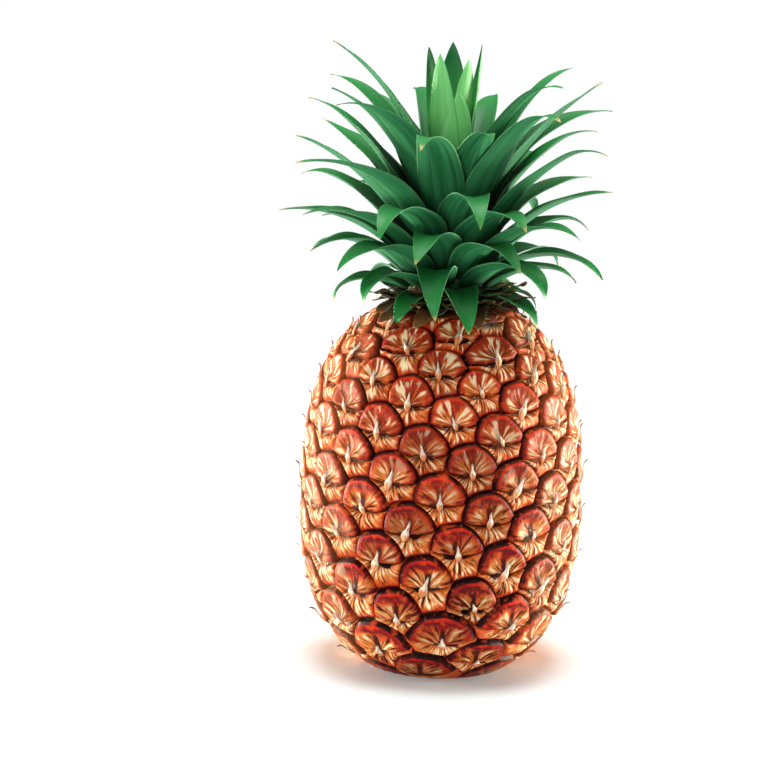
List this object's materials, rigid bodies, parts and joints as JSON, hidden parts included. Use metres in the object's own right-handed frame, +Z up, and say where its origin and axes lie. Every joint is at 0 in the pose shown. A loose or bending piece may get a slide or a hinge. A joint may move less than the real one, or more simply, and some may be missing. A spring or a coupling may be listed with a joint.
{
  "type": "pineapple",
  "caption": "Whole ripe pineapple with spiral scaly rind and a leafy crown, standing upright on its cut base.",
  "frame": {"origin": "middle of the cut face of the stalk, where the fruit stands", "axes": "+Z up along the fruit's axis to the crown, -Y towards the camera of the picture"},
  "size_m": [0.1485, 0.1566, 0.2819],
  "materials": {
    "fruit_rind": "waxy orange-red rind with tan bracts",
    "stalk_cut": "dry cut fibre",
    "crown_green": "satin deep green leaf",
    "heart_green": "satin pale green leaf"
  },
  "bodies": {
    "root": {"fruit": "fruit_rind", "stalk": "stalk_cut", "crown_leaves": "crown_green", "crown_heart": "heart_green"}
  },
  "joints": []
}
